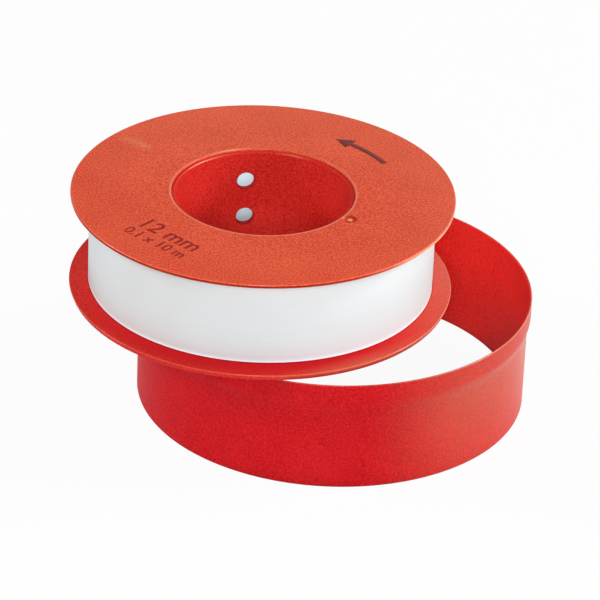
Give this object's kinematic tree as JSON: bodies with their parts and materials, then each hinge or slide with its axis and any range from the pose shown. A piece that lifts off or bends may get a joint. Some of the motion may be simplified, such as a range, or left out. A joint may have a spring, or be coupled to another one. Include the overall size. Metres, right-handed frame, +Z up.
{
  "type": "thread seal tape roll",
  "caption": "Flanged plastic reel wound with white thread seal tape, lying on its open cover ring; the reel lifts off and the tape end travels round the roll as tape is drawn.",
  "frame": {"origin": "on the surface that the cover ring stands on, under the middle of the whole part's box", "axes": "+Z up, along the axes of ring and reel; +X from the reel's axis towards the ring's axis"},
  "size_m": [0.0622, 0.0532, 0.0298],
  "materials": {
    "ring_plastic": "satin moulded polypropylene, red",
    "reel_plastic": "satin moulded polystyrene, orange red",
    "tape": "soft unsintered PTFE film, white"
  },
  "bodies": {
    "ring": {"cover_ring": "ring_plastic"},
    "spool": {"reel_core": "reel_plastic", "upper_flange": "reel_plastic", "tape_roll": "tape"},
    "tape_end": {"last_turn": "tape"}
  },
  "joints": [
    {"name": "spool_lift", "type": "slide", "parent": "ring", "child": "spool", "axis": [0, 0, 1], "range_m": [0, 0.03]},
    {"name": "tape_unwind", "type": "hinge", "parent": "spool", "child": "tape_end", "pos_m": [-0.00547, 0, 0.0226], "axis": [0, 0, -1], "continuous": true}
  ]
}
